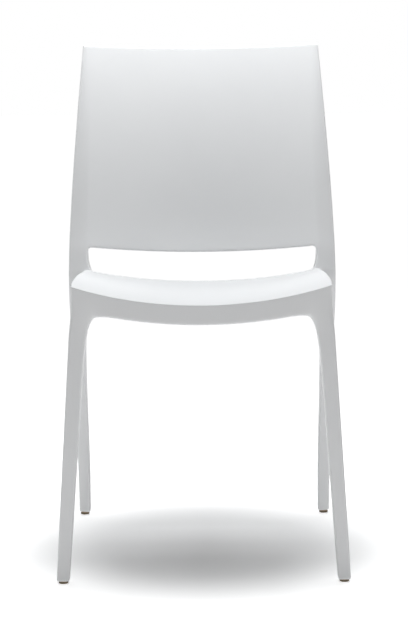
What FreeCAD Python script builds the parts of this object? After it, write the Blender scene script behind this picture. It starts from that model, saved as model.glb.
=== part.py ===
"""Stacking chair: one gas-assisted polypropylene moulding on four push-in foot glides.

Frame: millimetres, +Z up, the sitter faces -Y, and the origin lies on the floor under the middle of
the chair. The moulding is a curved seat and back sheet with a slot between them, a skirt under the
seat's front and sides, two front legs, and two rear frames. Each rear frame runs from a rear foot up
through the knee beside the seat to a top corner of the back. Every foot holds a plug and a soft sole.
"""
import FreeCAD, Part
import os

import Sketcher

DOC = FreeCAD.newDocument("stacking_chair")
X_AXIS, Y_AXIS, Z_AXIS = (FreeCAD.Vector(*axis) for axis in ((1, 0, 0), (0, 1, 0), (0, 0, 1)))
ORIGIN = FreeCAD.Vector(0, 0, 0)

# name: (value in millimetres or degrees, what it is)
DIMENSIONS = {
    "overall_height": (810, "floor to the top corners of the back"),
    "overall_depth": (500, "front edge of the seat to the rearmost point of the back"),
    "seat_height": (448.5, "floor to the front corners of the seat"),
    "seat_width": (386.6, "across the side edges of the seat"),
    "seat_bow": (18, "middle of the front edge ahead of its corners"),
    "seat_corner": (9, "plan radius of the front corners of the seat"),
    "seat_fall": (11, "drop of the seat's middle line from the front edge to its lowest point"),
    "seat_low_setback": (342, "front edge to the lowest point of the seat"),
    "seat_dish": (28, "middle of the seat's front below its side edges"),
    "seat_mid_dish": (33, "middle of the seat below its side edges, half way back"),
    "bend_dish": (25, "middle of the bend below its side edges"),
    "bend_radius": (70, "side view radius between seat and back"),
    "bend_angle": (77, "degrees that the sheet turns between seat and back"),
    "back_dish": (20, "middle of the back behind its side edges"),
    "back_bulge": (5, "side view of the back forward of a straight line, half way up"),
    "panel": (6, "thickness of the seat and back sheet"),
    "slot_width": (380, "slot between seat and back, across"),
    "slot_sill": (418, "floor to the middle of the slot's lower edge"),
    "slot_height": (45, "slot, at its middle"),
    "slot_smile": (11, "ends of the slot above its middle"),
    "slot_corner": (9, "radius of the slot's corners"),
    "skirt_height": (27.5, "skirt below the edge of the seat"),
    "skirt_thickness": (9, "skirt"),
    "side_skirt_fall": (2, "degrees that the lower edge of a side skirt falls to the rear"),
    "arch_smile": (12.5, "ends of the front skirt's lower edge above its middle"),
    "arch_radius": (24, "curve where a skirt turns down into a leg"),
    "front_foot_span": (442, "outside of the front feet"),
    "front_foot_setback": (20, "front edge of the seat to the centre of a front foot"),
    "front_foot_width": (19.3, "front leg at the foot, across"),
    "front_foot_depth": (22.5, "front leg at the foot, front to back"),
    "thigh_width": (25.5, "front leg at the seat, across"),
    "thigh_depth": (30, "front leg at the seat, front to back"),
    "thigh_setback": (1, "front corner of the seat to the front face of the leg's top"),
    "rear_foot_span": (435.5, "outside of the rear feet"),
    "rear_foot_reach": (470, "front edge of the seat to the centre of a rear foot"),
    "rear_foot_width": (19.3, "rear leg at the foot, across"),
    "rear_foot_depth": (23, "rear leg at the foot, front to back"),
    "shin_height": (313, "floor to the narrow part of the rear leg"),
    "shin_span": (435.6, "outside of the rear legs there"),
    "shin_width": (19.8, "rear leg there, across"),
    "shin_depth": (31, "rear leg there, front to back"),
    "shin_bow": (5, "rear leg forward of a straight line, half way up"),
    "knee_height": (418, "floor to the middle of the knee"),
    "knee_reach": (397, "front edge of the seat to the centre of the knee"),
    "knee_span": (447, "outside of the knees"),
    "knee_width": (35, "knee, across"),
    "knee_depth": (44, "knee, front to back"),
    "knee_half_height": (32, "half of the height over which the knee keeps its width"),
    "stile_depth": (35, "rear frame beside the bottom of the back, front to back"),
    "crown_span": (399.6, "outside of the frames at the top corners of the back"),
    "crown_width": (24, "rear frame at the top corner, across"),
    "crown_depth": (10, "rear frame at the top corner, front to back"),
    "stile_bow": (2.6, "outer edge of a stile outside a straight line, half way up"),
    "stile_proud": (1, "front face of a stile ahead of the edge of the back"),
    "stile_turn": (9, "degrees that a stile turns to follow the dished back"),
    "leg_corner": (6, "rounding of the section of the legs"),
    "crown_corner": (4, "rounding of the section of the top corner"),
    "toe_bevel": (2.5, "bevel round the end of each leg"),
    "skin": (0.6, "legs and skirt end this far below the surface of the seat"),
    "side_inset": (0.6, "outer face of the front leg inside the edge of the seat"),
    "channel": (9, "diameter of the gas channel in the legs, and of the socket of a glide"),
    "channel_end": (4.5, "diameter of the gas channel where it ends in a stile"),
    "socket_depth": (22, "straight part of the socket above the end of the leg"),
    "sole_diameter": (15, "soft sole"),
    "sole_height": (3.2, "soft sole"),
    "sole_bevel": (0.7, "lower edge of the sole"),
    "collar_diameter": (13.4, "collar of the plug, between leg and sole"),
    "collar_height": (1.4, "collar of the plug"),
    "stem_diameter": (7.8, "stem of the plug"),
    "stem_length": (18, "stem of the plug above its collar"),
    "stem_bore": (4.2, "hollow of the stem"),
    "stem_lead": (2, "height of the cone on the end of the stem"),
    "barb_gap": (0.05, "between the barbs and the socket"),
    "barb_height": (2.4, "barb"),
    "barb_pitch": (4.6, "barb to barb"),
    "barb_start": (3, "collar to the first barb"),
    "anchor_diameter": (9.4, "mushroom that holds the sole on the plug"),
    "anchor_neck": (6.6, "neck above the mushroom"),
    "anchor_height": (2.0, "mushroom and neck together"),
    "anchor_gap": (0.04, "between the sole and the mushroom"),
}
BARBS = 3
QUARTER_TURN = 1.5707963267948966
FULL_TURN = 360
WIDE = "dims.overall_depth"         # reach of a cutting tool that must pass right through the chair
MARGIN = "20"                       # a cutting tool's reach past the face that it opens

sheet = DOC.addObject("Spreadsheet::Sheet", "dims")
for row, (alias, (size, meaning)) in enumerate(DIMENSIONS.items(), start=1):
    sheet.set(f"A{row}", alias)
    sheet.set(f"B{row}", str(size))
    sheet.set(f"C{row}", meaning)
    sheet.setAlias(f"B{row}", alias)
gauge = DOC.addObject("App::VarSet", "gauge")
gauge.addProperty("App::PropertyFloat", "reading")
DOC.recompute()


def value(expression):
    """What an expression over the sheet comes to now."""
    gauge.setExpression("reading", str(expression))
    gauge.recompute()
    return gauge.reading


def bind(item, **sizes):
    """Binds properties of an object to expressions. A double underscore stands for a dot."""
    for name, expression in sizes.items():
        item.setExpression(name.replace("__", "."), str(expression))
    return item


def place(item, x="0", y="0", z="0", axis=Z_AXIS, turn="0"):
    """Binds an object's place, and its turn in degrees about one axis."""
    item.Placement = FreeCAD.Placement(ORIGIN, FreeCAD.Rotation(axis, 1))
    return bind(item, Placement__Base__x=x, Placement__Base__y=y, Placement__Base__z=z,
                Placement__Rotation__Angle=turn)


def box(name, width, depth, height, **where):
    return place(bind(DOC.addObject("Part::Box", name), Length=width, Width=depth, Height=height), **where)


def cylinder(name, radius, height, **where):
    return place(bind(DOC.addObject("Part::Cylinder", name), Radius=radius, Height=height), **where)


def cut(name, base, tool):
    result = DOC.addObject("Part::Cut", name)
    result.Base, result.Tool = base, tool
    return result


def common(name, base, tool):
    result = DOC.addObject("Part::Common", name)
    result.Base, result.Tool = base, tool
    return result


def fuse(name, *shapes):
    result = DOC.addObject("Part::MultiFuse", name)
    result.Shapes = list(shapes)
    return result


def loft(name, sections, straight=False):
    """A skin through sections, which runs straight from each to the next or curves through them."""
    result = DOC.addObject("Part::Loft", name)
    result.Sections, result.Solid, result.Ruled = sections, True, straight
    return result


def mirror(name, source):
    """The same shape on the other side of the chair."""
    result = DOC.addObject("Part::Mirroring", name)
    result.Source, result.Base, result.Normal = source, ORIGIN, X_AXIS
    return result


def dress(kind, name, base, size, wanted):
    """Rounds (Part::Fillet) or bevels (Part::Chamfer) the edges of a base for which wanted is true."""
    DOC.recompute()
    result = DOC.addObject(kind, name)
    result.Base = base
    edges = enumerate(base.Shape.Edges, start=1)
    result.Edges = [(index, value(size), value(size)) for index, edge in edges if wanted(edge)]
    return result


def along(axis):
    """A test for straight edges that run along an axis."""
    def test(edge):
        run = edge.Vertexes[-1].Point - edge.Vertexes[0].Point
        return run.Length > 1 and abs(run.normalize().dot(axis)) > 0.99
    return test


def rounded_section(name, width, depth, corner, **where):
    """A rounded rectangle about its own origin: four arcs joined by four lines."""
    sketch = place(DOC.addObject("Sketcher::SketchObject", name), **where)
    radius = value(corner)
    reach_x, reach_y = value(width) / 2 - radius, value(depth) / 2 - radius
    signs = ((1, 1), (-1, 1), (-1, -1), (1, -1))
    centres = [FreeCAD.Vector(sx * reach_x, sy * reach_y, 0) for sx, sy in signs]
    arcs = [sketch.addGeometry(Part.ArcOfCircle(Part.Circle(centre, Z_AXIS, radius),
                                                i * QUARTER_TURN, (i + 1) * QUARTER_TURN))
            for i, centre in enumerate(centres)]
    for i, arc in enumerate(arcs):
        following = arcs[(i + 1) % 4]
        ends = sketch.getPoint(arc, 2), sketch.getPoint(following, 1)
        line = sketch.addGeometry(Part.LineSegment(*ends))
        sketch.addConstraint(Sketcher.Constraint("Tangent", arc, 2, line, 1))
        sketch.addConstraint(Sketcher.Constraint("Tangent", line, 2, following, 1))
        if i < 2:
            level = "Horizontal" if i == 0 else "Vertical"
            sketch.addConstraint(Sketcher.Constraint(level, line))
            sketch.addConstraint(Sketcher.Constraint("Symmetric", arc, 3, arcs[i + 2], 3, -1, 1))
        if i:
            sketch.addConstraint(Sketcher.Constraint("Equal", arcs[0], arc))
    sized(sketch, Sketcher.Constraint("Radius", arcs[0], radius), corner)
    sized(sketch, Sketcher.Constraint("DistanceX", -1, 1, arcs[0], 3, reach_x), f"{width} / 2 - {corner}")
    sized(sketch, Sketcher.Constraint("DistanceY", -1, 1, arcs[0], 3, reach_y), f"{depth} / 2 - {corner}")
    return sketch


def sized(sketch, constraint, expression):
    """Adds a size to a sketch and binds it to an expression."""
    index = sketch.addConstraint(constraint)
    sketch.setExpression(f"Constraints[{index}]", expression)


def strip_section(name, half_width, sagitta, below, above, margin, **where):
    """Two arcs about one centre, closed by two upright lines.

    An arc that sinks by sagitta between the edges of the sheet passes through the sketch's origin.
    The lower arc lies a distance below it and the upper arc a distance above it.
    """
    sketch = place(DOC.addObject("Sketcher::SketchObject", name), **where)
    radius = f"(({half_width}) ^ 2 + ({sagitta}) ^ 2) / (2 * ({sagitta}))"
    reach = f"{half_width} + {margin}"
    big, end = value(radius), value(reach)
    centre = FreeCAD.Vector(0, big, 0)
    arcs = []
    for offset in (below, f"-({above})"):
        size = big + value(offset)
        depth = (size ** 2 - end ** 2) ** 0.5
        arc = Part.Arc(FreeCAD.Vector(-end, big - depth, 0), FreeCAD.Vector(0, big - size, 0),
                       FreeCAD.Vector(end, big - depth, 0))
        index = sketch.addGeometry(arc)
        arcs.append(index)
        sketch.addConstraint(Sketcher.Constraint("PointOnObject", index, 3, -2))
        sized(sketch, Sketcher.Constraint("DistanceY", -1, 1, index, 3, big), radius)
        sized(sketch, Sketcher.Constraint("Radius", index, size), f"{radius} + ({offset})")
    for corner in (1, 2):
        ends = sketch.getPoint(arcs[0], corner), sketch.getPoint(arcs[1], corner)
        line = sketch.addGeometry(Part.LineSegment(*ends))
        sketch.addConstraint(Sketcher.Constraint("Coincident", arcs[0], corner, line, 1))
        sketch.addConstraint(Sketcher.Constraint("Coincident", arcs[1], corner, line, 2))
        sketch.addConstraint(Sketcher.Constraint("Vertical", line))
        side = 1 if sketch.getPoint(arcs[0], corner).x > 0 else -1
        sized(sketch, Sketcher.Constraint("DistanceX", -1, 1, arcs[0], corner, side * end),
              f"{side} * ({reach})")
    return sketch


# ---- the line that the middle of the sheet follows in side view, from the front edge to the top ----
FRONT_Y = "-dims.overall_depth / 2"
SEAT_HALF = "dims.seat_width / 2"
FRONT_Z = "(dims.seat_height - dims.seat_dish)"
LOW_Y = f"({FRONT_Y} + dims.seat_low_setback)"
LOW_Z = f"({FRONT_Z} - dims.seat_fall)"
BEND_END_Y = f"({LOW_Y} + dims.bend_radius * sin(dims.bend_angle))"
BEND_END_Z = f"({LOW_Z} + dims.bend_radius * (1 - cos(dims.bend_angle)))"
TOP_Y = "(dims.overall_depth / 2 - dims.panel)"
TOP_Z = "(dims.overall_height - 0.28 * dims.back_dish)"
BACK_RUN = f"({TOP_Y} - {BEND_END_Y})"
BACK_RISE = f"({TOP_Z} - {BEND_END_Z})"
KNEE_Y = f"({FRONT_Y} + dims.knee_reach)"


def back_y(share):
    """Depth of the back's middle line at a share of its height."""
    return f"({BEND_END_Y} + {BACK_RUN} * {share} - dims.back_bulge * sin(180 * {share}))"


def back_z(share):
    return f"({BEND_END_Z} + {BACK_RISE} * {share})"


def back_slope(share):
    """Degrees from level to the back's middle line, which its bulge turns."""
    return (f"(dims.bend_angle + (atan2({BACK_RISE}; {BACK_RUN} - 3.1416 * dims.back_bulge"
            f" * cos(180 * {share})) / 1 deg - dims.bend_angle) * min(1; {share} * 4))")


# each station: (y, z, slope in degrees, sagitta across the sheet)
SEAT_LINE = [
    (f"({FRONT_Y} - 5)", FRONT_Z, "0", "dims.seat_dish"),
    (f"({FRONT_Y} + dims.seat_low_setback * 0.45)", f"({FRONT_Z} - dims.seat_fall * 0.65)", "0",
     "dims.seat_mid_dish"),
    (LOW_Y, LOW_Z, "0", "dims.bend_dish"),
]
BACK_LINE = [(back_y(share), back_z(share), back_slope(share),
              f"(dims.back_dish + (dims.bend_dish - dims.back_dish) * {max(0, 1 - 2 * share)})")
             for share in (0, 0.33, 0.67, 1)]


def sheet_sections(name, line, below, above, margin):
    return [strip_section(f"{name}_{i}", SEAT_HALF, sagitta, below, above, margin,
                          y=y, z=z, axis=X_AXIS, turn=f"90 + {slope}")
            for i, (y, z, slope, sagitta) in enumerate(line)]


def plan_block(name, inset, z, height):
    """The seat's outline seen from above, drawn in by an inset, as a block of some height."""
    bow_radius = f"((({SEAT_HALF}) ^ 2 + dims.seat_bow ^ 2) / (2 * dims.seat_bow))"
    blank = box(f"{name}_blank", f"dims.seat_width - 2 * {inset}", f"{WIDE} + 2 * {MARGIN}", height,
                x=f"-({SEAT_HALF} - {inset})", y=f"{FRONT_Y} - {MARGIN}", z=z)
    drum = cylinder(f"{name}_drum", f"{bow_radius} - {inset}", height, y=f"{FRONT_Y} + {bow_radius}", z=z)
    bowed = common(f"{name}_bowed", blank, drum)
    DOC.recompute()
    upright = along(Z_AXIS)
    return dress("Part::Fillet", name, bowed, f"dims.seat_corner - {inset} * 0.5",
                 lambda edge: upright(edge) and edge.CenterOfMass.y < 0)


def make_sheet():
    """Seat and back in one curved sheet, cut to the seat's outline, with the slot through it."""
    seat = loft("seat_loft", sheet_sections("seat", SEAT_LINE, "dims.panel", "0", "6"))
    bend = DOC.addObject("Part::Revolution", "bend")
    bend.Source, bend.Axis, bend.Solid = seat.Sections[-1], X_AXIS, True
    bind(bend, Base__y=LOW_Y, Base__z=f"{LOW_Z} + dims.bend_radius", Angle="dims.bend_angle")
    back = loft("back_loft", sheet_sections("back", BACK_LINE, "dims.panel", "0", "6"))
    whole = fuse("sheet_whole", seat, bend, back)
    outline = plan_block("sheet_outline", "0", "dims.seat_height / 2", "dims.overall_height")
    trimmed = common("sheet_trimmed", whole, outline)
    arc = "(((dims.slot_width / 2) ^ 2 + dims.slot_smile ^ 2) / (2 * dims.slot_smile))"
    front, reach = f"({BEND_END_Y} - dims.slot_height)", "2 * dims.slot_height"
    centre_z = f"dims.slot_sill + {arc}"
    lower = cylinder("slot_lower", arc, reach, y=f"{front} + {reach}", z=centre_z, axis=X_AXIS, turn="90")
    upper = cylinder("slot_upper", f"{arc} - dims.slot_height", reach,
                     y=f"{front} + {reach}", z=centre_z, axis=X_AXIS, turn="90")
    ring = cut("slot_ring", lower, upper)
    span = box("slot_span", "dims.slot_width", reach, f"dims.slot_height + dims.slot_smile + {MARGIN}",
               x="-dims.slot_width / 2", y=front, z=f"dims.slot_sill - {MARGIN} / 2")
    slot = dress("Part::Fillet", "slot", common("slot_sharp", ring, span), "dims.slot_corner",
                 along(Y_AXIS))
    return cut("sheet_slotted", trimmed, slot)


def make_air():
    """The space over the seat, from just under its surface, to cut legs and skirt level with it."""
    return loft("air", sheet_sections("air", SEAT_LINE, "dims.skin", "4 * dims.skirt_height",
                                      f"2 * {MARGIN}"))


def make_skirt(air):
    """The band under the seat's front and sides, arched between the legs."""
    foot, height = "(dims.seat_height - 2 * dims.thigh_depth)", "3 * dims.thigh_depth"
    outer = plan_block("skirt_outer", "0", foot, height)
    inner = plan_block("skirt_inner", "dims.skirt_thickness", foot, height)
    band = cut("skirt_band", outer, inner)
    rear = box("skirt_rear", WIDE, WIDE, height, x=f"-{WIDE} / 2", y=KNEE_Y, z=foot)
    over = box("skirt_over", WIDE, WIDE, height, x=f"-{WIDE} / 2", y=f"{LOW_Y} - dims.skin",
               z=f"{LOW_Z} + dims.bend_dish - dims.skin")
    smile_half = f"({SEAT_HALF} - dims.thigh_width - dims.arch_radius)"
    arc = f"(({smile_half} ^ 2 + dims.arch_smile ^ 2) / (2 * dims.arch_smile))"
    lap = "dims.leg_corner"
    opening = box("front_arch_box", f"dims.seat_width - 2 * (dims.thigh_width - {lap})",
                  "4 * dims.arch_radius", "6 * dims.arch_radius",
                  x=f"-({SEAT_HALF} - dims.thigh_width + {lap})", y=f"{FRONT_Y} - 2 * dims.arch_radius",
                  z=f"{FRONT_Z} - dims.skirt_height - 5 * dims.arch_radius")
    drum = cylinder("front_arch_drum", arc, WIDE, y=f"{FRONT_Y} + {WIDE} / 2",
                    z=f"{FRONT_Z} - dims.skirt_height + {arc}", axis=X_AXIS, turn="90")
    run = along(Y_AXIS)
    front_arch = dress("Part::Fillet", "front_arch", cut("front_arch_sharp", opening, drum),
                       "dims.arch_radius",
                       lambda edge: run(edge)
                       and edge.CenterOfMass.z > value(f"{FRONT_Z} - 2 * dims.skirt_height"))
    start = f"({FRONT_Y} + dims.seat_bow + dims.thigh_setback + dims.thigh_depth - 4)"
    reach = f"({FRONT_Y} + dims.knee_reach + 3 - {start})"
    depth = "6 * dims.arch_radius"
    side_box = box("side_arch_box", WIDE, reach, depth, x=f"-{WIDE} / 2", y=start,
                   z=f"dims.seat_height - dims.skirt_height - {depth}", axis=X_AXIS,
                   turn="-dims.side_skirt_fall")
    across = along(X_AXIS)
    side_arch = dress("Part::Fillet", "side_arch", side_box, "dims.arch_radius",
                      lambda edge: across(edge)
                      and edge.CenterOfMass.z > value("dims.seat_height - 3 * dims.skirt_height"))
    return cut("skirt", band, fuse("skirt_tools", air, rear, over, front_arch, side_arch))


FOOT_Z = "(dims.sole_height + dims.collar_height)"
FRONT_FOOT = ("(dims.front_foot_span - dims.front_foot_width) / 2",
              f"{FRONT_Y} + dims.front_foot_setback")
REAR_FOOT = ("(dims.rear_foot_span - dims.rear_foot_width) / 2",
             f"{FRONT_Y} + dims.rear_foot_reach")
THIGH_Y = f"({FRONT_Y} + dims.seat_bow + dims.thigh_setback + dims.thigh_depth / 2)"


def with_toe(name, leg):
    """Bevels the edges round the lower end of a leg."""
    end = value(FOOT_Z)
    return dress("Part::Chamfer", name, leg, "dims.toe_bevel",
                 lambda edge: abs(edge.BoundBox.ZMax - end) < 0.01 and edge.BoundBox.ZLength < 0.01)


def make_front_leg(air):
    """The left front leg, which tapers from the seat to the foot."""
    foot = rounded_section("front_foot", "dims.front_foot_width", "dims.front_foot_depth",
                           "dims.leg_corner", x=FRONT_FOOT[0], y=FRONT_FOOT[1], z=FOOT_Z)
    top = rounded_section("thigh", "dims.thigh_width", "dims.thigh_depth", "dims.leg_corner",
                          x=f"{SEAT_HALF} - dims.side_inset - dims.thigh_width / 2", y=THIGH_Y,
                          z="dims.seat_height")
    blank = with_toe("front_leg_blank", loft("front_leg_loft", [foot, top]))
    return cut("front_leg", blank, air)


# each station of a rear frame: (height, outer x, width, y of the centre, depth, corner, turn)
KNEE_LOW = "(dims.knee_height - dims.knee_half_height)"


def between(first, last, share):
    """A size part of the way from one to another."""
    return f"({first} * (1 - {share}) + {last} * {share})"


def leg_y(height):
    """Depth of the centre of the rear leg at a height, on a line that bows forward."""
    rise = f"(({height} - {FOOT_Z}) / (dims.knee_height - {FOOT_Z}))"
    return f"({REAR_FOOT[1]} + ({KNEE_Y} - ({REAR_FOOT[1]})) * {rise} - dims.shin_bow * sin(180 * {rise}))"


def shin_station(share):
    """A station at a share of the way from the foot to the narrow part of the leg."""
    height = between(FOOT_Z, "dims.shin_height", share)
    return (height, between("dims.rear_foot_span", "dims.shin_span", share) + " / 2",
            between("dims.rear_foot_width", "dims.shin_width", share), leg_y(height),
            between("dims.rear_foot_depth", "dims.shin_depth", share), "dims.leg_corner", "0")


def swell_station(share):
    """A station at a share of the way from the narrow part up to the knee, which swells out gently."""
    height = between("dims.shin_height", KNEE_LOW, share)
    swell = share * share * (3 - 2 * share)
    return (height, between("dims.shin_span", "dims.knee_span", swell) + " / 2",
            between("dims.shin_width", "dims.knee_width", swell), leg_y(height),
            between("dims.shin_depth", "dims.knee_depth", swell), "dims.leg_corner", "0")


def stile_station(share):
    """A station at a share of the height of the back."""
    depth = between("dims.stile_depth", "dims.crown_depth", share)
    edge = between("dims.bend_dish", "dims.back_dish", min(1, 2 * share))
    return (between(BEND_END_Z, "dims.overall_height", share),
            f"({between('dims.knee_span', 'dims.crown_span', share)} / 2"
            f" + dims.stile_bow * sin(180 * {share}))",
            between("dims.knee_width", "dims.crown_width", share),
            f"({back_y(share)} - {edge} - dims.stile_proud + {depth} / 2)",
            depth, between("dims.leg_corner", "dims.crown_corner", share),
            f"dims.stile_turn * {share}")


KNEE_MIDDLE = ("dims.knee_height", "dims.knee_span / 2", "dims.knee_width", KNEE_Y,
               "dims.knee_depth", "dims.leg_corner", "0")
KNEE_TOP = ("(dims.knee_height + dims.knee_half_height)", "dims.knee_span / 2", "dims.knee_width",
            f"(({KNEE_Y} + {stile_station(0)[3]}) / 2 - 0.6)", "(dims.knee_depth + dims.stile_depth) / 2",
            "dims.leg_corner", "0")
SHIN = [shin_station(share) for share in (0, 0.25, 0.5, 0.75, 1)]
SWELL = [swell_station(share) for share in (0.25, 0.5, 0.75, 1)]
STILE = [stile_station(share / 9) for share in range(10)]
REAR_FRAME = SHIN + SWELL + [KNEE_MIDDLE, KNEE_TOP] + STILE


def make_rear_frame():
    """The left rear frame, from its foot to the top corner of the back."""
    sections = [rounded_section(f"rear_{i}", width, depth, corner, x=f"{outer} - {width} / 2", y=y,
                                z=z, turn=turn)
                for i, (z, outer, width, y, depth, corner, turn) in enumerate(REAR_FRAME)]
    return with_toe("rear_frame", loft("rear_frame_loft", sections, straight=True))


def ring(name, diameter, **where):
    return place(bind(DOC.addObject("Part::Circle", name), Radius=f"{diameter} / 2"), **where)


def make_channels():
    """Gas channels up the middle of the left legs, and the straight sockets below them."""
    start = f"({FOOT_Z} + dims.socket_depth - 4)"
    lean = between(REAR_FOOT[0], f"({SHIN[1][1]} - {SHIN[1][2]} / 2)", 0.2)
    rings = [ring("rear_channel_foot", "dims.channel", x=lean, y=leg_y(start), z=start)]
    for i, (z, outer, width, y, _depth, _corner, _turn) in enumerate(SHIN[1:] + SWELL[1::2]):
        rings.append(ring(f"rear_channel_{i}", "dims.channel", x=f"{outer} - {width} / 2", y=y, z=z))
    for i, (z, outer, width, y, _depth, _corner, _turn) in enumerate([KNEE_MIDDLE, KNEE_TOP, *STILE[1:6:2]]):
        taper = between("dims.channel", "dims.channel_end", i / 4)
        rings.append(ring(f"stile_channel_{i}", taper, x=f"{outer} - {width} / 2", y=y, z=z))
    rear = loft("rear_channel", rings, straight=True)
    top_x = f"({SEAT_HALF} - dims.side_inset - dims.thigh_width / 2)"
    front_rings = [
        ring(f"front_channel_{i}", "dims.channel", x=between(f"({FRONT_FOOT[0]})", top_x, share),
             y=between(f"({FRONT_FOOT[1]})", THIGH_Y, share), z=z)
        for i, (share, z) in enumerate(((0.05, start), (0.9, "dims.seat_height - 45")))
    ]
    front = loft("front_channel", front_rings)
    sockets = [cylinder(f"{name}_socket", "dims.channel / 2", "dims.socket_depth + 5",
                        x=x, y=y, z=f"{FOOT_Z} - 5")
               for name, (x, y) in (("front", FRONT_FOOT), ("rear", REAR_FOOT))]
    return [front, rear, *sockets]


def make_moulding():
    """Everything that the mould fills in one shot."""
    air = make_air()
    front_leg, rear_frame = make_front_leg(air), make_rear_frame()
    solid = fuse("moulding_solid", make_sheet(), make_skirt(air), front_leg, rear_frame,
                 mirror("front_leg_right", front_leg), mirror("rear_frame_right", rear_frame))
    hollows = make_channels()
    tools = fuse("moulding_hollows", *hollows,
                 *(mirror(f"{hollow.Name}_right", hollow) for hollow in hollows))
    return cut("chair_moulding", solid, tools)


def revolved(name, points, x, y):
    """A body turned about an upright axis from half of its section, which may touch the axis."""
    body = DOC.addObject("PartDesign::Body", name)
    sketch = body.newObject("Sketcher::SketchObject", f"{name}_profile")
    plane = next(item for item in body.Origin.OriginFeatures if item.Role == "XZ_Plane")
    sketch.AttachmentSupport, sketch.MapMode = (plane, ""), "FlatFace"
    corners = [FreeCAD.Vector(value(px), value(pz), 0) for px, pz in points]
    for i, corner in enumerate(corners):
        sketch.addGeometry(Part.LineSegment(corner, corners[(i + 1) % len(corners)]))
    for i, ((px, pz), corner) in enumerate(zip(points, corners)):
        sketch.addConstraint(Sketcher.Constraint("Coincident", i - 1 if i else len(points) - 1, 2, i, 1))
        sized(sketch, Sketcher.Constraint("DistanceX", -1, 1, i, 1, corner.x), px)
        sized(sketch, Sketcher.Constraint("DistanceY", -1, 1, i, 1, corner.y), pz)
    DOC.recompute()
    turned = body.newObject("PartDesign::Revolution", f"{name}_turned")
    turned.Profile, turned.ReferenceAxis, turned.Angle = sketch, (sketch, ["V_Axis"]), FULL_TURN
    return place(body, x=x, y=y)


def plug_profile():
    """Half section of the plug: mushroom, collar, barbed stem and its blind bore, from the bottom."""
    base, collar = "dims.sole_height", FOOT_Z
    stem, barb = "dims.stem_diameter / 2", "dims.channel / 2 - dims.barb_gap"
    cap = f"{base} - dims.anchor_height / 2"
    points = [("0", f"{base} - dims.anchor_height"),
              ("dims.anchor_diameter / 2", f"{base} - dims.anchor_height"),
              ("dims.anchor_diameter / 2", cap),
              ("dims.anchor_neck / 2", cap),
              ("dims.anchor_neck / 2", base),
              ("dims.collar_diameter / 2", base),
              ("dims.collar_diameter / 2", collar),
              (stem, collar)]
    for i in range(BARBS):
        foot = f"{collar} + dims.barb_start + dims.barb_pitch * {i}"
        points += [(stem, foot), (barb, foot), (stem, f"{foot} + dims.barb_height")]
    tip = f"{collar} + dims.stem_length"
    points += [(stem, f"{tip} - dims.stem_lead"),
               (f"{stem} - dims.stem_lead / 3", tip),
               ("dims.stem_bore / 2", tip),
               ("dims.stem_bore / 2", collar),
               ("0", collar)]
    return points


def sole_profile():
    """Half section of the sole, with the hollow that the plug's mushroom fills."""
    top, gap = "dims.sole_height", "dims.anchor_gap"
    rim = "dims.sole_diameter / 2"
    hollow, cap = f"{top} - dims.anchor_height - {gap}", f"{top} - dims.anchor_height / 2 + {gap}"
    return [("0", "0"),
            (f"{rim} - dims.sole_bevel", "0"),
            (rim, "dims.sole_bevel"),
            (rim, top),
            (f"dims.anchor_neck / 2 + {gap}", top),
            (f"dims.anchor_neck / 2 + {gap}", cap),
            (f"dims.anchor_diameter / 2 + {gap}", cap),
            (f"dims.anchor_diameter / 2 + {gap}", hollow),
            ("0", hollow)]


def make_glides():
    """A plug and a sole for each foot."""
    glides = []
    for end, (x, y) in (("front", FRONT_FOOT), ("rear", REAR_FOOT)):
        for side, sign in (("left", ""), ("right", "-")):
            centre = f"{sign}({x})"
            glides.append(revolved(f"glide_plug_{end}_{side}", plug_profile(), centre, y))
            glides.append(revolved(f"glide_sole_{end}_{side}", sole_profile(), centre, y))
    return glides


NODES = [make_moulding(), *make_glides()]
DOC.recompute()

for item in DOC.Objects:
    if "Invalid" in item.State or "Error" in item.State:
        raise RuntimeError(f"{item.Name} failed: {item.State}")
os.makedirs("parts", exist_ok=True)
for node in NODES:
    shape = node.Shape
    if shape.isNull() or not shape.isValid() or len(shape.Solids) != 1:
        raise RuntimeError(f"{node.Label} is not one valid solid")
    shape.exportStep(f"parts/{node.Label}.step")
    extent = shape.optimalBoundingBox(False)
    print(f"{node.Label}: {shape.Volume / 1000:.2f} cm3, x {extent.XMin:.2f}..{extent.XMax:.2f},"
          f" y {extent.YMin:.2f}..{extent.YMax:.2f}, z {extent.ZMin:.2f}..{extent.ZMax:.2f}")
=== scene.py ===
"""Stacking chair: the moulding, its foot glides and the studio round them.

The moulding is one subdivision surface. Its control cage is a set of six-sided cells that share
corners: a dished seat slab with a skirt below its front and sides, two front legs, a rear frame on
each side that runs from the rear foot through the knee to the top corner, and the back panel.
"""
from __future__ import annotations

import logging
import math
from collections.abc import Callable
from dataclasses import dataclass, field
from enum import Enum

import bmesh
import bpy
from mathutils import Matrix, Vector

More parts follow.
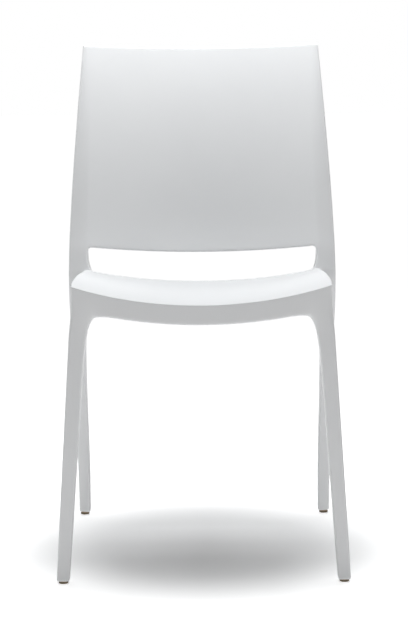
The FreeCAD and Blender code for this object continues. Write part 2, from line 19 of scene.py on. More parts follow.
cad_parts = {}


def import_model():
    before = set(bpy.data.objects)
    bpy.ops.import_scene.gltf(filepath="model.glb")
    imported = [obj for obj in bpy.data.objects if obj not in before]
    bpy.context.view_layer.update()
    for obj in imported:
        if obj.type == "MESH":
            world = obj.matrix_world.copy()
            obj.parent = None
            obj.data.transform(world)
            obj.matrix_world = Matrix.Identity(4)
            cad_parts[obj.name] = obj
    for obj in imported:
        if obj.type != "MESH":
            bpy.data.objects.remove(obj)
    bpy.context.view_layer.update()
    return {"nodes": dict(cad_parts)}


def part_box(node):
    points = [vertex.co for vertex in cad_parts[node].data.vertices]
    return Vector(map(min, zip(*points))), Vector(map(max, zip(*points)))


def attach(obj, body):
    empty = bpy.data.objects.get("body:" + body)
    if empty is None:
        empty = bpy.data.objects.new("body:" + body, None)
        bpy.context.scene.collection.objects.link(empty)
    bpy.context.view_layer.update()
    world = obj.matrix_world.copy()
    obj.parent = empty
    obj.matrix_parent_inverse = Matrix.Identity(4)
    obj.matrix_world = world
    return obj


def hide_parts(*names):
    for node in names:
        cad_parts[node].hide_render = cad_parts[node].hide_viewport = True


LOG = logging.getLogger("stacking_chair")
MM = 0.001
BODY = "root"

Key = tuple[int | str, ...]
Point = tuple[float, float, float]
Colour = tuple[float, float, float, float]


class Side(Enum):
    """The sitter's left and right."""

    LEFT = 1
    RIGHT = -1


def mix(first: float, last: float, share: float) -> float:
    """Returns the value part of the way from first to last."""
    return first + (last - first) * share


def along(share_points: tuple[tuple[float, float], ...], at: float) -> float:
    """Reads a smooth curve through a few points.

    Args:
        share_points: (place, value) pairs in rising order of place.
        at: The place to read.

    Returns:
        The value there, held level beyond both ends.
    """
    if at <= share_points[0][0]:
        return share_points[0][1]
    if at >= share_points[-1][0]:
        return share_points[-1][1]
    slopes = []
    for i in range(len(share_points)):
        low, high = max(i - 1, 0), min(i + 1, len(share_points) - 1)
        (x0, y0), (x1, y1) = share_points[low], share_points[high]
        slopes.append((y1 - y0) / (x1 - x0))
    for i, ((x0, y0), (x1, y1)) in enumerate(zip(share_points, share_points[1:])):
        if at <= x1:
            span = x1 - x0
            t = (at - x0) / span
            return ((2 * t ** 3 - 3 * t ** 2 + 1) * y0 + (t ** 3 - 2 * t ** 2 + t) * span * slopes[i]
                    + (3 * t ** 2 - 2 * t ** 3) * y1 + (t ** 3 - t ** 2) * span * slopes[i + 1])
    return share_points[-1][1]


# ---------------------------------------------------------------- finishes


@dataclass(frozen=True)
class Shell:
    """White polypropylene from a finely etched mould, with a little handling wear."""

    name: str = "shell_polypropylene"
    colour: Colour = (0.80, 0.804, 0.808, 1)
    shade: Colour = (0.775, 0.78, 0.786, 1)
    roughness: float = 0.46
    grain_per_m: float = 1500.0
    grain_depth: float = 0.00004

    def material(self) -> bpy.types.Material:
        """Returns the material, made new."""
        kit = Nodes(self.name)
        place = kit.add("ShaderNodeTexCoord")
        cloud = kit.add("ShaderNodeTexNoise", Scale=3.5, Detail=3.0, Roughness=0.55)
        grain = kit.add("ShaderNodeTexNoise", Scale=self.grain_per_m, Detail=2.0, Roughness=0.6)
        for noise in (cloud, grain):
            kit.link(place, "Object", noise, "Vector")
        ramp = kit.ramp(((0.35, self.shade), (0.65, self.colour)))
        kit.link(cloud, "Fac", ramp, "Fac")
        bump = kit.add("ShaderNodeBump", Strength=0.35, Distance=self.grain_depth)
        kit.link(grain, "Fac", bump, "Height")
        sheen = kit.add("ShaderNodeMapRange")
        sheen.inputs["To Min"].default_value = self.roughness - 0.05
        sheen.inputs["To Max"].default_value = self.roughness + 0.06
        kit.link(cloud, "Fac", sheen, "Value")
        kit.link(ramp, "Color", kit.surface, "Base Color")
        kit.link(sheen, "Result", kit.surface, "Roughness")
        kit.link(bump, "Normal", kit.surface, "Normal")
        kit.surface.inputs["Specular IOR Level"].default_value = 0.3
        return kit.material


@dataclass(frozen=True)
class Moulded:
    """A small moulded part: nylon plug or soft rubber sole."""

    name: str
    colour: Colour
    shade: Colour
    roughness: float
    grain_per_m: float = 900.0
    grain_depth: float = 0.00005

    def material(self) -> bpy.types.Material:
        """Returns the material, made new."""
        kit = Nodes(self.name)
        place = kit.add("ShaderNodeTexCoord")
        cloud = kit.add("ShaderNodeTexNoise", Scale=160.0, Detail=3.0, Roughness=0.6)
        grain = kit.add("ShaderNodeTexNoise", Scale=self.grain_per_m, Detail=2.0, Roughness=0.6)
        for noise in (cloud, grain):
            kit.link(place, "Object", noise, "Vector")
        ramp = kit.ramp(((0.3, self.shade), (0.7, self.colour)))
        kit.link(cloud, "Fac", ramp, "Fac")
        bump = kit.add("ShaderNodeBump", Strength=0.4, Distance=self.grain_depth)
        kit.link(grain, "Fac", bump, "Height")
        kit.link(ramp, "Color", kit.surface, "Base Color")
        kit.link(bump, "Normal", kit.surface, "Normal")
        kit.surface.inputs["Roughness"].default_value = self.roughness
        return kit.material


@dataclass(frozen=True)
class Paper:
    """The pale studio floor, which brightens into the backdrop away from the chair.

    Its glow is painted light. It runs from a dim glow, a painted shadow pool under the chair, to a full
    glow,
     where the floor glows though it is no lamp, between two distances from the middle. Spill is the share of
     that glow that falls on the chair as light.
    """

    name: str = "studio_floor"
    colour: Colour = (0.97, 0.97, 0.97, 1)
    # Painted shadow: the dim glow of the pool under the chair.
    painted_shadow_glow: float = 0.17
    # Painted light: the full glow of the floor away from the chair, which also lights the chair.
    painted_light_glow: float = 1.0
    near: float = 0.16
    far: float = 0.46
    spill: float = 0.86

    def material(self) -> bpy.types.Material:
        """Returns the material, made new."""
        kit = Nodes(self.name)
        place = kit.add("ShaderNodeTexCoord")
        fibre = kit.add("ShaderNodeTexNoise", Scale=700.0, Detail=2.0)
        kit.link(place, "Object", fibre, "Vector")
        bump = kit.add("ShaderNodeBump", Strength=0.05, Distance=0.0001)
        kit.link(fibre, "Fac", bump, "Height")
        kit.link(bump, "Normal", kit.surface, "Normal")
        surface = kit.surface.inputs
        surface["Base Color"].default_value = self.colour
        surface["Roughness"].default_value = 0.9
        surface["Specular IOR Level"].default_value = 0.1
        surface["Emission Color"].default_value = (1, 1, 1, 1)
        # Painted shadow and light: the glow rises with distance from the middle, dim in a pool under the
        # chair and full further out.
        reach = kit.add("ShaderNodeVectorMath")
        reach.operation = "LENGTH"
        kit.link(place, "Object", reach, "Vector")
        glow = kit.add("ShaderNodeMapRange")
        glow.interpolation_type = "SMOOTHSTEP"
        for name, value in (("From Min", self.near), ("From Max", self.far),
                            ("To Min", self.painted_shadow_glow), ("To Max", self.painted_light_glow)):
            glow.inputs[name].default_value = value
        kit.link(reach, "Value", glow, "Value")
        # The camera sees the whole painted glow; other rays carry the spill share of it onto the chair as
        # light.
        sight = kit.add("ShaderNodeLightPath")
        seen = kit.add("ShaderNodeMapRange")
        seen.inputs["To Min"].default_value = self.spill
        seen.inputs["To Max"].default_value = 1.0
        kit.link(sight, "Is Camera Ray", seen, "Value")
        strength = kit.add("ShaderNodeMath")
        strength.operation = "MULTIPLY"
        kit.link(glow, "Result", strength, 0)
        kit.link(seen, "Result", strength, 1)
        kit.link(strength, "Value", kit.surface, "Emission Strength")
        return kit.material


class Nodes:
    """A new material and short ways to fill its node tree."""

    def __init__(self, name: str) -> None:
        """Makes the material, with its shader and output in place."""
        self.material = bpy.data.materials.new(name)
        self.material.use_nodes = True
        self.tree = self.material.node_tree
        self.surface = self.tree.nodes["Principled BSDF"]

    def add(self, kind: str, **values: float) -> bpy.types.Node:
        """Returns a new node, with the inputs named in values set."""
        node = self.tree.nodes.new(kind)
        for name, value in values.items():
            node.inputs[name].default_value = value
        return node

    def ramp(self, stops: tuple[tuple[float, tuple[float, ...]], ...]) -> bpy.types.Node:
        """Returns a colour ramp with two stops."""
        node = self.add("ShaderNodeValToRGB")
        for element, (place, colour) in zip(node.color_ramp.elements, stops):
            element.position = place
            element.color = colour
        return node

    def link(self, source: bpy.types.Node, output: str, target: bpy.types.Node,
             entry: str | int) -> None:
        """Joins an output of one node to an input of another."""
        self.tree.links.new(source.outputs[output], target.inputs[entry])


# ---------------------------------------------------------------- the control cage


class Cage:
    """A control cage made of six-sided cells that share their corners."""

    def __init__(self) -> None:
        """Starts with no corners and no cells."""
        self.corners: dict[Key, Point] = {}
        self.cells: list[tuple[Key, ...]] = []
        self.creases: dict[frozenset[Key], float] = {}

    def fill(self, name: Callable[[int, int, int], Key], a: range, b: range, c: range) -> None:
        """Adds one cell for each step of three ranges.

        Args:
            name: Gives the key of the corner at three grid places.
            a: Steps along the first grid direction.
            b: Steps along the second.
            c: Steps along the third.
        """
        offsets = ((0, 0, 0), (1, 0, 0), (1, 1, 0), (0, 1, 0), (0, 0, 1), (1, 0, 1), (1, 1, 1), (0, 1, 1))
        for i in a:
            for j in b:
                for k in c:
                    self.cells.append(tuple(name(i + di, j + dj, k + dk) for di, dj, dk in offsets))

    def crease(self, keys: list[Key], weight: float) -> None:
        """Sharpens the edges along a row of corners."""
        for first, second in zip(keys, keys[1:]):
            self.creases[frozenset((first, second))] = weight

    def outer_faces(self) -> list[tuple[Key, ...]]:
        """Returns the faces that only one cell has, but for those on the middle plane."""
        sides = ((0, 3, 2, 1), (4, 5, 6, 7), (0, 1, 5, 4), (1, 2, 6, 5), (2, 3, 7, 6), (3, 0, 4, 7))
        found: dict[frozenset[Key], tuple[Key, ...] | None] = {}
        for cell in self.cells:
            for side in sides:
                face = tuple(cell[i] for i in side)
                mark = frozenset(face)
                found[mark] = None if mark in found else face
        return [face for face in found.values()
                if face and any(abs(self.corners[key][0]) > 1e-6 for key in face)]

    def mesh(self, name: str) -> bpy.types.Mesh:
        """Builds both halves of the chair from the cage of its left half.

        Args:
            name: The new mesh's name.

        Returns:
            A closed mesh in metres, with its creases and outward normals.
        """
        work = bmesh.new()
        crease_layer = work.edges.layers.float.new("crease_edge")
        made: dict[tuple[Key, int], bmesh.types.BMVert] = {}
        for side in Side:
            for face in self.outer_faces():
                ring = []
                for key in face:
                    x, y, z = self.corners[key]
                    on_middle = abs(x) < 1e-6
                    mark = (key, 1 if on_middle else side.value)
                    if mark not in made:
                        made[mark] = work.verts.new((x * side.value * MM, y * MM, z * MM))
                    ring.append(made[mark])
                work.faces.new(ring)
            for pair, weight in self.creases.items():
                ends = []
                for key in pair:
                    on_middle = abs(self.corners[key][0]) < 1e-6
                    ends.append(made.get((key, 1 if on_middle else side.value)))
                edge = work.edges.get(ends) if None not in ends and len(ends) == 2 else None
                if edge:
                    edge[crease_layer] = weight
        bmesh.ops.recalc_face_normals(work, faces=work.faces)
        mesh = bpy.data.meshes.new(name)
        work.to_mesh(mesh)
        work.free()
        mesh.shade_smooth()
        return mesh


@dataclass
class Moulding:
    """The one-piece moulding. Sizes are in millimetres in the chair's own frame."""

    seat_half: float = 193.3
    stile_inner: float = 184.0
    columns: tuple[float, ...] = (0, 62, 112, 145, 168, 173, stile_inner, seat_half)
    rows: tuple[float, ...] = (0, 9, -206, -201, -150, -88, -22, 42, 84)
    slab: float = 6.0
    low_y: float = 92.0
    low_z: float = 409.5
    front_y: float = -250.0
    seat_bow: float = 18.0
    bend_radius: float = 70.0
    slot_rear: float = 111.0
    knee_front: float = 127.0
    waist: float = 195.1
    stile_roll: float = 0.0075
    slot_half: float = 190.0
    slot_top: float = 463.0
    slot_smile: float = 11.0
    back_dish: float = 20.0
    panel: float = 5.6
    leg_edge: float = 5.5
    frame_edge: float = 5.0
    leg_levels: tuple[float, ...] = (383, 350, 270, 180, 90, 30, 8.2, 4.6)
    frame_levels: tuple[float, ...] = (4.6, 8.4, 30, 80, 150, 230, 305, 345, 383, 407, 429, 435, 447,
                                       463, 470, 500, 550, 610, 670, 730, 780, 806, 810)
    skirt_level: int = 9
    slab_level: int = 10
    seat_level: int = 11
    slot_level: int = 13
    cage: Cage = field(default_factory=Cage)

    # ---- surfaces

    def middle_z(self, y: float) -> float:
        """Returns the height of the seat's middle line at a depth."""
        return along(((-250, 420.5), (-170, 418.6), (-108, 416.4), (-26, 412.7), (40, 410.3),
                      (self.low_y, self.low_z)), y)

    def sag(self, y: float) -> float:
        """Returns how far the middle of the sheet lies below its side edges at a depth."""
        return along(((-250, 28), (-170, 30.6), (-108, 32.4), (-26, 33.3), (50, 30.5), (92, 27.5),
                      (125, 21.5)), y)

    def seat_z(self, x: float, y: float) -> float:
        """Returns the height of the seat's upper surface."""
        dish = self.sag(y) * (x / self.seat_half) ** 2
        if y <= self.low_y:
            return self.middle_z(y) + dish
        arm = self.bend_radius - dish
        return self.low_z + self.bend_radius - math.sqrt(arm ** 2 - (y - self.low_y) ** 2)

    def back_y(self, z: float) -> float:
        """Returns the depth of the middle of the back's front surface at a height."""
        return along(((418, 125.4), (440, 140.5), (463, 153.2), (471, 157.4), (482, 162.3), (500, 168.7),
                      (530, 176), (560, 182.2), (620, 194.2), (700, 212.8), (760, 229.6), (810, 245.2)), z)

    def stile_z(self, level: int, x: float) -> float:
        """Returns the height of a level of the rear frame, which the back follows in a smile."""
        z = self.frame_levels[level]
        if level < self.slot_level:
            return z
        top, low = self.frame_levels[-1], self.slot_top
        share = (z - low) / (top - low)
        rise = mix(self.slot_smile, 5.4, share)
        return mix(low, top - 5.4, share) + rise * min(1, (x / self.slot_half) ** 2)

    def outer_x(self, z: float) -> float:
        """Returns the outer edge of the rear frame at a height."""
        return along(((4, 217.8), (105, 217.8), (230, 217.8), (300, 218.6), (330, 221.6), (355, 223.4),
                      (383, 223.5), (417, 223.5), (451, 223.1), (485, 222.0), (518, 220.6), (584, 216.7),
                      (651, 211.7), (718, 206.7), (751, 203.6), (802, 199.7), (810, 198.9)), z)

    def inner_x(self, z: float) -> float:
        """Returns the inner edge of the rear frame at a height."""
        return along(((4, 198.2), (80, 196.8), (150, 197.2), (230, 198.4), (300, 198.6), (345, 195.4),
                      (383, 190.5), (407, 187), (429, 185), (447, 191.2), (463, 191.8), (600, 186),
                      (700, 182), (810, 177)), z)

    def frame_front(self, z: float) -> float:
        """Returns the depth of the rear frame's front face below the back."""
        return along(((4, 208.5), (60, 199), (150, 178.5), (230, 162), (313, 147.6), (350, 139.5),
                      (383, 132), (407, 127), (429, 125.5), (437, 127.5), (447, 131.5), (463, 137)), z)

    def frame_rear(self, z: float) -> float:
        """Returns the depth of the rear frame's rear face."""
        return along(((4, 231.3), (60, 222.5), (150, 203.5), (230, 190.5), (313, 178.6), (350, 174.4),
                      (383, 171.5), (429, 169.5), (463, 172), (500, 177), (600, 196.5), (700, 218),
                      (780, 233), (810, 236.5)), z)

    # ---- keys, which alias where two parts of the cage meet

    def seat_key(self, i: int, j: int, k: int) -> Key:
        """Returns the key of a seat corner: column, row, and top, underside or skirt edge."""
        level = (self.seat_level, self.slab_level, self.skirt_level)[k]
        if j == 9 and i >= 6:
            return ("frame", i - 6, 0, level)
        if j == 10 and i == 6:
            return ("frame", 0, 1, level)
        return ("seat", i, j, k)

    def leg_key(self, i: int, j: int, n: int) -> Key:
        """Returns the key of a front leg corner."""
        return self.seat_key(i, j, 2) if n == 0 else ("leg", i, j, n)

    def frame_key(self, a: int, b: int, n: int) -> Key:
        """Returns the key of a rear frame corner."""
        return ("frame", a, b, n)

    def panel_key(self, i: int, t: int, n: int) -> Key:
        """Returns the key of a back panel corner."""
        return ("frame", 0, t, n) if i == 6 else ("panel", i, t, n)

    # ---- places

    def place_seat(self) -> None:
        """Places the slab's and skirt's corners."""
        for i, column in enumerate(self.columns):
            bow = self.front_y + self.seat_bow * (column / self.seat_half) ** 2
            for j in range(11):
                if j < 2:
                    y = bow + self.rows[j]
                elif j < 9:
                    y = self.rows[j]
                else:
                    y = self.slot_rear + (8 if j == 10 else 0) + 7.5 * (1 - (column / self.stile_inner) ** 2)
                z = self.seat_z(column, y)
                if i == 7 and j > 2:
                    column = self.waist
                for k in range(3):
                    key = self.seat_key(i, j, k)
                    if key[0] == "frame":
                        continue
                    x, drop, shift = column, 0.0, 0.0
                    if k >= 1:
                        drop, shift = self.slab, 0.0
                        if y > self.low_y:
                            lean = (y - self.low_y) / self.bend_radius
                            drop, shift = self.slab * math.cos(lean), self.slab * math.sin(lean)
                    if k == 2:
                        x, yy, zz = self.skirt_corner(i, j, column, y)
                        self.cage.corners[key] = (x, yy, zz)
                        continue
                    self.cage.corners[key] = (x, y + shift, z - drop)

    def skirt_corner(self, i: int, j: int, column: float, y: float) -> Point:
        """Returns the place of a corner on the lower edge of the skirt."""
        front_z = 391 + 14 * min(1, (column / 146) ** 2)
        side_z = along(((-250, 421), (0, 412.5), (118, 405)), y)
        x, z = column, front_z
        if i == 4 and j <= 1:
            x, z = 161.0, 402.0
        elif i >= 5 or (i == 4 and j > 1):
            z = mix(398, side_z - 4, 0.5) if j <= 1 else 402
            if i == 4:
                x, z = 165.5, 402
        if i >= 4 and j == 2:
            z = 404
        if i >= 4 and j == 3:
            y, z = -195.5, 409.5
        if i >= 6 and j >= 4:
            z = side_z
        return (x, y, z)

    def place_legs(self) -> None:
        """Places the front leg's corners, from the skirt to the foot."""
        for n, z in enumerate(self.leg_levels, start=1):
            outer = along(((4, 221.1), (60, 217.8), (190, 209.5), (354, 198.6), (448, 193.3)), z)
            width = along(((4, 19.3), (190, 22.2), (350, 23.4), (383, 27.5)), z)
            front = along(((4, -241.6), (190, -238.2), (354, -234.2), (448, -231.5)), z)
            rear = along(((4, -219.0), (190, -212.8), (354, -204.5), (448, -201)), z)
            across = (outer - width, outer - width + 4.5, outer - self.leg_edge, outer)
            depths = (front, front + self.leg_edge, rear - self.leg_edge, rear)
            for i in range(4):
                for j in range(4):
                    self.cage.corners["leg", i + 4, j, n] = (across[i], depths[j], z)

    def place_frames(self) -> None:
        """Places the rear frame's corners, from the foot to the top corner of the back."""
        for n in range(len(self.frame_levels)):
            level_z = self.frame_levels[n]
            inner, outer = self.inner_x(level_z), self.outer_x(level_z)
            across = (inner, inner + self.frame_edge, mix(inner, outer, 0.55),
                      outer - self.frame_edge, outer)
            for a, x in enumerate(across):
                z = self.stile_z(n, x)
                if n < self.slot_level:
                    front = self.frame_front(z)
                else:
                    dish = self.back_dish * min(x / self.seat_half, 1) ** 2
                    front = self.back_y(z) - dish
                front += self.stile_roll * max(0.0, x - 188) ** 2
                rear = self.frame_rear(z)
                if n >= self.slot_level:
                    rear = max(rear, front + self.panel + 2.4)
                depths = (front, front + self.panel, mix(front + self.panel, rear, 0.62), rear)
                for b, y in enumerate(depths):
                    self.cage.corners["frame", a, b, n] = (x, y, z)
        top = self.seat_z(self.seat_half, self.slot_rear) - 1.8
        for a, x in ((0, self.stile_inner), (1, self.waist)):
            self.cage.corners["frame", a, 0, self.seat_level] = (x, self.knee_front, top)
            self.cage.corners["frame", a, 0, self.slab_level] = (x, self.knee_front, top - self.slab)
            self.cage.corners["frame", a, 0, self.skirt_level] = (x, self.knee_front + 4, 404)

    def place_panel(self) -> None:
        """Places the back panel's corners between the stiles."""
        for n in range(self.slot_level, len(self.frame_levels)):
            inner = self.inner_x(self.frame_levels[n])
            for i in range(6):
                x = self.columns[i] * inner / self.stile_inner
                z = self.stile_z(n, x)
                front = self.back_y(z) - self.back_dish * (x / self.seat_half) ** 2
                self.cage.corners["panel", i, 0, n] = (x, front, z)
                self.cage.corners["panel", i, 1, n] = (x, front + self.panel, z - 1.2)

    # ---- build

    def build(self) -> bpy.types.Object:
        """Returns the moulding as a subdivision surface on its cage."""
        self.place_seat()
        self.place_legs()
        self.place_frames()
        self.place_panel()
        cage, last = self.cage, len(self.frame_levels) - 1
        cage.fill(self.seat_key, range(7), range(9), range(1))
        cage.fill(self.seat_key, range(6), range(9, 10), range(1))
        cage.fill(self.seat_key, range(4), range(1), range(1, 2))
        cage.fill(self.seat_key, range(4, 7), range(3), range(1, 2))
        cage.fill(self.seat_key, range(6, 7), range(3, 9), range(1, 2))
        cage.fill(self.leg_key, range(4, 7), range(3), range(len(self.leg_levels)))
        cage.fill(self.frame_key, range(4), range(3), range(last))
        cage.fill(self.panel_key, range(6), range(1), range(self.slot_level, last))
        self.sharpen()
        chair = bpy.data.objects.new("chair_shell", cage.mesh("chair_shell"))
        bpy.context.scene.collection.objects.link(chair)
        smooth = chair.modifiers.new("smooth", "SUBSURF")
        smooth.levels = smooth.render_levels = 3
        return chair

    def sharpen(self) -> None:
        """Creases the edges that the mould leaves crisp."""
        cage = self.cage
        cage.crease([self.seat_key(i, 0, 0) for i in range(8)], 0.75)
        cage.crease([self.seat_key(7, j, 0) for j in range(10)], 0.7)
        cage.crease([self.seat_key(i, 0, 2) for i in range(5)], 0.5)
        cage.crease([self.seat_key(7, j, 2) for j in range(4, 10)], 0.4)
        cage.crease([self.seat_key(7, 0, k) for k in range(2)], 0.45)
        cage.crease([("frame", a, 0, self.seat_level) for a in range(3)], 0.8)

    def dress(self, finish: Shell) -> bpy.types.Object:
        """Builds the moulding and hands it over.

        Args:
            finish: The shell's finish.

        Returns:
            The finished piece.
        """
        chair = self.build()
        chair.data.materials.append(finish.material())
        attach(chair, BODY)
        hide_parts("chair_moulding")
        return chair


@dataclass
class PinMarks:
    """The round marks that ejector pins leave under a moulded seat. Their number and places are guessed."""

    columns: int = 4
    rows: int = 3
    width: float = 0.23
    depth: float = 0.19
    centre_y: float = -0.075
    start_z: float = 0.3
    radius: float = 0.0045
    height: float = 0.0006
    segments: int = 28
    reach: float = 1.0

    def tree(self, finish: bpy.types.Material) -> tuple[bpy.types.NodeTree, dict[str, str]]:
        """Builds the node tree, which throws a grid up against the seat and stands a disc at each point.

        Args:
            finish: The discs' material.

        Returns:
            The tree, and the identifier of each of its named inputs.
        """
        tree = bpy.data.node_groups.new("pin_marks", "GeometryNodeTree")
        face = tree.interface
        face.new_socket("Geometry", in_out="OUTPUT", socket_type="NodeSocketGeometry")
        kinds = {"Seat": "Object", "Columns": "Int", "Rows": "Int", "Width": "Float", "Depth": "Float",
                 "Place": "Vector", "Radius": "Float", "Height": "Float"}
        names = {name: face.new_socket(name, in_out="INPUT", socket_type=f"NodeSocket{kind}").identifier
                 for name, kind in kinds.items()}
        entry, end = tree.nodes.new("NodeGroupInput"), tree.nodes.new("NodeGroupOutput")
        grid, disc = tree.nodes.new("GeometryNodeMeshGrid"), tree.nodes.new("GeometryNodeMeshCylinder")
        shift, seat = tree.nodes.new("GeometryNodeTransform"), tree.nodes.new("GeometryNodeObjectInfo")
        ray, move = tree.nodes.new("GeometryNodeRaycast"), tree.nodes.new("GeometryNodeSetPosition")
        face_to = tree.nodes.new("FunctionNodeAlignRotationToVector")
        stand = tree.nodes.new("GeometryNodeInstanceOnPoints")
        real = tree.nodes.new("GeometryNodeRealizeInstances")
        paint = tree.nodes.new("GeometryNodeSetMaterial")
        keep = tree.nodes.new("GeometryNodeCaptureAttribute")
        keep.capture_items.new("VECTOR", "normal")
        keep.capture_items.new("VECTOR", "hit")
        face_to.axis = "Z"
        ray.inputs["Ray Direction"].default_value = (0, 0, 1)
        ray.inputs["Ray Length"].default_value = self.reach
        paint.inputs["Material"].default_value = finish
        disc.inputs["Vertices"].default_value = self.segments
        join = tree.links.new
        for name, node, socket in (("Seat", seat, "Object"), ("Columns", grid, "Vertices X"),
                                   ("Rows", grid, "Vertices Y"), ("Width", grid, "Size X"),
                                   ("Depth", grid, "Size Y"), ("Place", shift, "Translation"),
                                   ("Radius", disc, "Radius"), ("Height", disc, "Depth")):
            join(entry.outputs[name], node.inputs[socket])
        join(grid.outputs["Mesh"], shift.inputs["Geometry"])
        join(seat.outputs["Geometry"], ray.inputs["Target Geometry"])
        join(shift.outputs["Geometry"], keep.inputs["Geometry"])
        join(ray.outputs["Hit Normal"], keep.inputs["normal"])
        join(ray.outputs["Hit Position"], keep.inputs["hit"])
        join(keep.outputs["Geometry"], move.inputs["Geometry"])
        join(keep.outputs["hit"], move.inputs["Position"])
        join(move.outputs["Geometry"], stand.inputs["Points"])
        join(keep.outputs["normal"], face_to.inputs["Vector"])
        join(face_to.outputs["Rotation"], stand.inputs["Rotation"])
        join(disc.outputs["Mesh"], stand.inputs["Instance"])
        join(stand.outputs["Instances"], real.inputs["Geometry"])
        join(real.outputs["Geometry"], paint.inputs["Geometry"])
        join(paint.outputs["Geometry"], end.inputs[0])
        return tree, names

    def dress(self, shell: bpy.types.Object) -> bpy.types.Object:
        """Makes the marks on the underside of a seat.

        Args:
            shell: The moulding that carries them.

        Returns:
            The finished piece, a plain mesh.
        """
        finish = shell.data.materials[0]
        maker = bpy.data.objects.new("pin_marks_maker", bpy.data.meshes.new("pin_marks_maker"))
        bpy.context.scene.collection.objects.link(maker)
        modifier = maker.modifiers.new("marks", "NODES")
        modifier.node_group, names = self.tree(finish)
        settings = {"Seat": shell, "Columns": self.columns, "Rows": self.rows, "Width": self.width,
                    "Depth": self.depth, "Place": (0.0, self.centre_y, self.start_z),
                    "Radius": self.radius, "Height": self.height}
        for name, value in settings.items():
            modifier[names[name]] = value
        graph = bpy.context.evaluated_depsgraph_get()
        graph.update()
        mesh = bpy.data.meshes.new_from_object(maker.evaluated_get(graph), depsgraph=graph)
        mesh.name = "pin_marks"
        bpy.data.objects.remove(maker)
        marks = bpy.data.objects.new("pin_marks", mesh)
        bpy.context.scene.collection.objects.link(marks)
        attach(marks, BODY)
        return marks


# ---------------------------------------------------------------- foot glides


FEET = tuple(f"{end}_{side.name.lower()}" for end in ("front", "rear") for side in Side)


@dataclass
class Glides:
    """The four plugs, which keep their modelled shape, and their soles with a turned tread."""

    tread_grooves: int = 3
    segments: int = 48

    def sole_profile(self, radius: float, height: float) -> list[tuple[float, float]]:
        """Returns half of the sole's section, as (radius, height) pairs from the bottom up."""
        groove, points = 0.5 * MM, [(0.0, 0.0)]
        pitch = (radius - 2.0 * MM) / (self.tread_grooves + 0.5)
        for i in range(self.tread_grooves):
            start = pitch * (i + 0.6)
            points += [(start, 0.0), (start + 0.2 * MM, groove), (start + 0.7 * MM, groove),
                       (start + 0.9 * MM, 0.0)]
        points += [(radius - 0.9 * MM, 0.0), (radius - 0.35 * MM, 0.18 * MM), (radius, 0.9 * MM),
                   (radius, height * 0.72), (radius - 0.25 * MM, height - 0.15 * MM),
                   (radius - 0.7 * MM, height), (0.0, height)]
        return points

    def sole(self, foot: str, finish: bpy.types.Material) -> bpy.types.Object:
        """Returns one sole, turned on the axis of its CAD node."""
        node = f"glide_sole_{foot}"
        low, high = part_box(node)
        centre = Vector(((low[0] + high[0]) / 2, (low[1] + high[1]) / 2, low[2]))
        radius, height = (high[0] - low[0]) / 2, high[2] - low[2]
        work = bmesh.new()
        rings = []
        for r, z in self.sole_profile(radius, height):
            if r == 0:
                rings.append([work.verts.new(centre + Vector((0, 0, z)))])
                continue
            turns = (math.tau * i / self.segments for i in range(self.segments))
            rings.append([work.verts.new(centre + Vector((r * math.cos(t), r * math.sin(t), z)))
                          for t in turns])
        for lower, upper in zip(rings, rings[1:]):
            for i in range(self.segments):
                after = (i + 1) % self.segments
                corners = [lower[i % len(lower)], lower[after % len(lower)],
                           upper[after % len(upper)], upper[i % len(upper)]]
                work.faces.new(list(dict.fromkeys(corners)))
        bmesh.ops.recalc_face_normals(work, faces=work.faces)
        mesh = bpy.data.meshes.new(f"sole_{foot}")
        work.to_mesh(mesh)
        work.free()
        mesh.shade_smooth()
        piece = bpy.data.objects.new(f"sole_{foot}", mesh)
        bpy.context.scene.collection.objects.link(piece)
        mesh.materials.append(finish)
        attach(piece, BODY)
        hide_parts(node)
        return piece

    def dress(self, nodes: dict[str, bpy.types.Object]) -> list[bpy.types.Object]:
        """Makes the soles and gives the plugs their finish.

        Args:
            nodes: The CAD nodes by name.

        Returns:
            The new pieces.
        """
        tan = Moulded("glide_nylon", (0.50, 0.37, 0.25, 1), (0.42, 0.30, 0.20, 1), 0.42).material()
        brown = Moulded("glide_rubber", (0.22, 0.175, 0.115, 1), (0.165, 0.13, 0.085, 1), 0.6).material()
        pieces = []
        for foot in FEET:
            plug = nodes[f"glide_plug_{foot}"]
            for slot in plug.material_slots:
                slot.material = tan
            pieces.append(self.sole(foot, brown))
        return pieces


# ---------------------------------------------------------------- studio


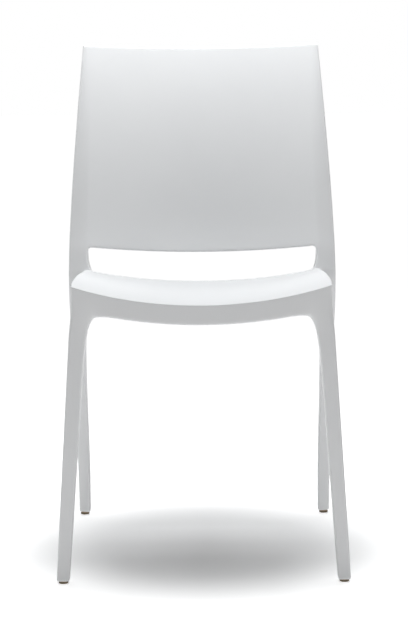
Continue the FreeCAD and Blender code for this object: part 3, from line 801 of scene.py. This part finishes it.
@dataclass
class Studio:
    """Pale floor, soft boxes and the camera."""

    camera_place: Point = (0.010, -2.936, 0.746)
    pitch: float = -7.385
    yaw: float = 0.142
    roll: float = -0.47
    lens: float = 103.35
    daylight: tuple[float, float, float] = (0.975, 0.99, 1.0)

    def floor(self) -> bpy.types.Object:
        """Returns the floor."""
        work = bmesh.new()
        bmesh.ops.create_grid(work, x_segments=1, y_segments=1, size=40)
        mesh = bpy.data.meshes.new("floor")
        work.to_mesh(mesh)
        work.free()
        floor = bpy.data.objects.new("floor", mesh)
        floor.location.z = -0.0002
        # The floor's material glows with painted light, dim in a painted shadow pool under the chair.
        mesh.materials.append(Paper().material())
        bpy.context.scene.collection.objects.link(floor)
        return floor

    def area(self, name: str, place: Point, aim: Point, size: tuple[float, float], watts: float) -> None:
        """Adds a soft box.

        Args:
            name: The lamp's name.
            place: Where it stands.
            aim: The point it faces.
            size: Its width and height in metres.
            watts: Its power.
        """
        lamp = bpy.data.lights.new(name, "AREA")
        lamp.shape, (lamp.size, lamp.size_y), lamp.energy = "RECTANGLE", size, watts
        lamp.color = self.daylight
        box = bpy.data.objects.new(name, lamp)
        box.location = place
        box.rotation_euler = (Vector(aim) - Vector(place)).to_track_quat("-Z", "Y").to_euler()
        bpy.context.scene.collection.objects.link(box)

    def world(self, light: float) -> None:
        """Fills the room with even white light of some strength, before a white backdrop."""
        world = bpy.data.worlds.new("studio")
        world.use_nodes = True
        tree = world.node_tree
        tree.nodes.clear()
        fill, drop = (tree.nodes.new("ShaderNodeBackground") for _ in range(2))
        fill.inputs["Strength"].default_value = light
        fill.inputs["Color"].default_value = (0.97, 0.985, 1.0, 1)
        drop.inputs["Strength"].default_value = 1.0
        drop.inputs["Color"].default_value = (1, 1, 1, 1)
        path, blend = tree.nodes.new("ShaderNodeLightPath"), tree.nodes.new("ShaderNodeMixShader")
        out = tree.nodes.new("ShaderNodeOutputWorld")
        tree.links.new(path.outputs["Is Camera Ray"], blend.inputs["Fac"])
        tree.links.new(fill.outputs[0], blend.inputs[1])
        tree.links.new(drop.outputs[0], blend.inputs[2])
        tree.links.new(blend.outputs[0], out.inputs["Surface"])
        bpy.context.scene.world = world

    def camera(self) -> None:
        """Sets up the camera."""
        lens = bpy.data.cameras.new("camera")
        lens.lens = self.lens
        camera = bpy.data.objects.new("camera", lens)
        turn = (Matrix.Rotation(math.radians(self.yaw), 4, "Z")
                @ Matrix.Rotation(math.radians(90 + self.pitch), 4, "X")
                @ Matrix.Rotation(math.radians(self.roll), 4, "Z"))
        camera.matrix_world = Matrix.Translation(self.camera_place) @ turn
        bpy.context.scene.collection.objects.link(camera)
        bpy.context.scene.camera = camera

    def build(self) -> None:
        """Puts up the floor, the lights and the camera."""
        view = bpy.context.scene.view_settings
        view.view_transform, view.look = "Standard", "None"
        self.floor()
        self.world(0.02)
        self.area("top_box", (0, -0.1, 1.7), (0, -0.1, 0), (1.6, 1.2), 12.2)
        self.area("high_strip", (0, 0.1, 1.6), (0, 0.1, 0.6), (0.8, 0.3), 2.8)
        self.area("back_strip", (0, 0.35, 1.25), (0, 0.1, 0.6), (0.7, 0.4), 4.0)
        self.area("wide_strip", (0, 0.35, 1.25), (0, 0.1, 0.6), (1.4, 0.4), 2.8)
        self.camera()


def main() -> None:
    """Builds the chair and the studio."""
    logging.basicConfig(level=logging.INFO, format="%(message)s")
    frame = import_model()
    shell = Moulding().dress(Shell())
    LOG.info("%s: %d cage faces", shell.name, len(shell.data.polygons))
    marks = PinMarks().dress(shell)
    LOG.info("%s: %d faces", marks.name, len(marks.data.polygons))
    for piece in Glides().dress(frame["nodes"]):
        LOG.info("%s: %d faces", piece.name, len(piece.data.polygons))
    Studio().build()


if __name__ == "__main__":
    main()
